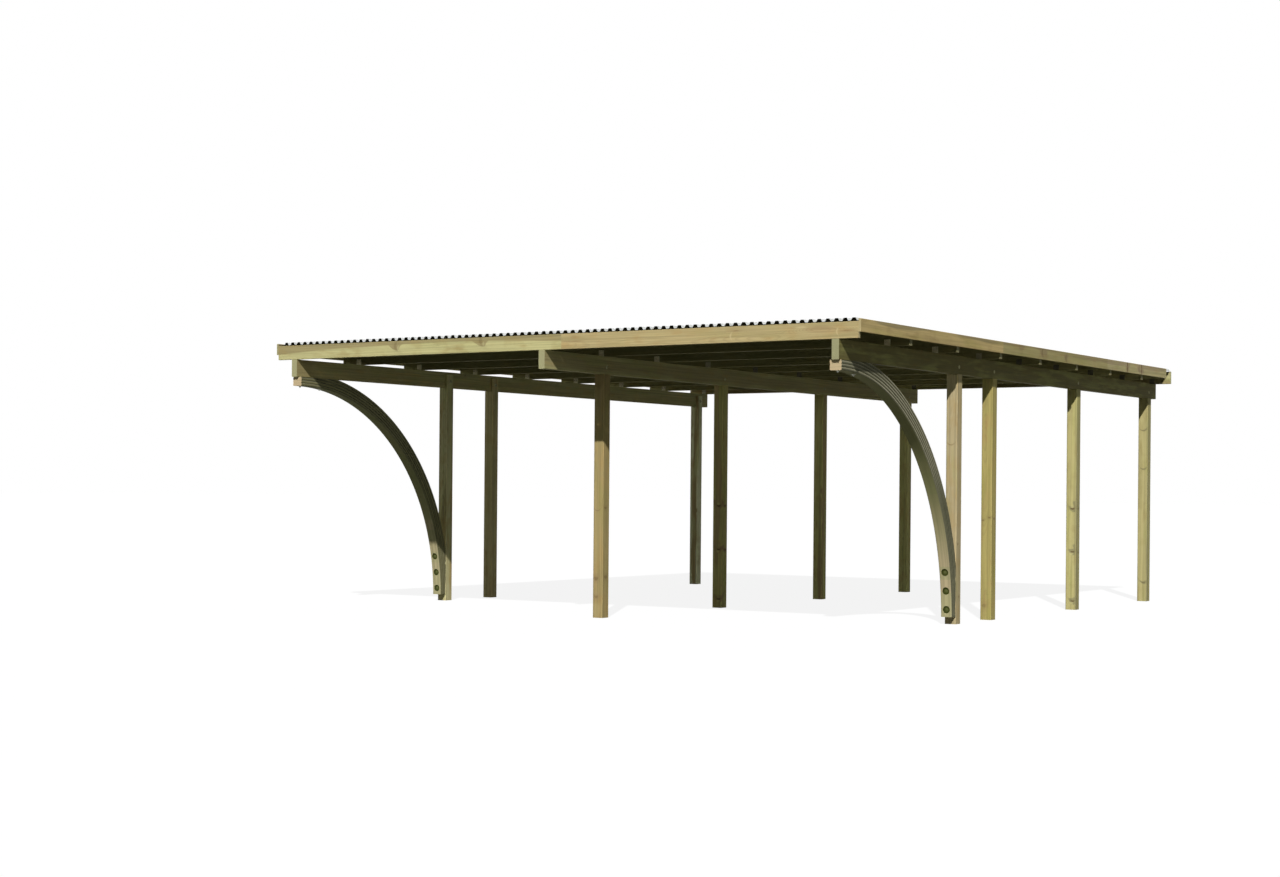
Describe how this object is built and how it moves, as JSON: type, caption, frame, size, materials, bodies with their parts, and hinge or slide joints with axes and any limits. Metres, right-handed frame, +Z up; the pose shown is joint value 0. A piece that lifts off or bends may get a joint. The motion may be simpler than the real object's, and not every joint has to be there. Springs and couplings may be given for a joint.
{
  "type": "double timber carport",
  "caption": "Open timber carport with a flat trapezoidal-sheet roof on three rows of posts; laminated arches brace the front of the outer rows.",
  "frame": {"origin": "on the ground, under the middle of the roof", "axes": "+X to the right seen from the front, +Y from the front to the rear, +Z up"},
  "size_m": [5.63, 6.76, 2.2966],
  "materials": {
    "post_wood": "planed pressure-treated pine",
    "beam_wood": "planed pressure-treated pine",
    "arch_wood": "glue-laminated pressure-treated pine",
    "board_wood": "planed pressure-treated pine board",
    "roof_sheet": "plastic sheet, pale grey above and black underneath",
    "bracket_zinc": "galvanised steel"
  },
  "bodies": {
    "root": {"post_left_1": "post_wood", "post_left_2": "post_wood", "post_left_3": "post_wood", "post_left_4": "post_wood", "post_middle_1": "post_wood", "post_middle_2": "post_wood", "post_middle_3": "post_wood", "post_middle_4": "post_wood", "post_right_1": "post_wood", "post_right_2": "post_wood", "post_right_3": "post_wood", "post_right_4": "post_wood", "beam_left": "beam_wood", "beam_middle": "beam_wood", "beam_right": "beam_wood", "arch_left": "arch_wood", "arch_right": "arch_wood", "rafter_1": "beam_wood", "rafter_2": "beam_wood", "rafter_3": "beam_wood", "rafter_4": "beam_wood", "rafter_5": "beam_wood", "rafter_6": "beam_wood", "rafter_7": "beam_wood", "front_board_left": "board_wood", "front_board_right": "board_wood", "rear_board_left": "board_wood", "rear_board_right": "board_wood", "side_board_left_front": "board_wood", "side_board_left_rear": "board_wood", "side_board_right_front": "board_wood", "side_board_right_rear": "board_wood", "roof_sheet_1": "roof_sheet", "roof_sheet_2": "roof_sheet", "roof_sheet_3": "roof_sheet", "roof_sheet_4": "roof_sheet", "roof_sheet_5": "roof_sheet", "roof_sheet_6": "roof_sheet", "brackets_left": "bracket_zinc", "brackets_middle": "bracket_zinc", "brackets_right": "bracket_zinc"}
  },
  "joints": []
}
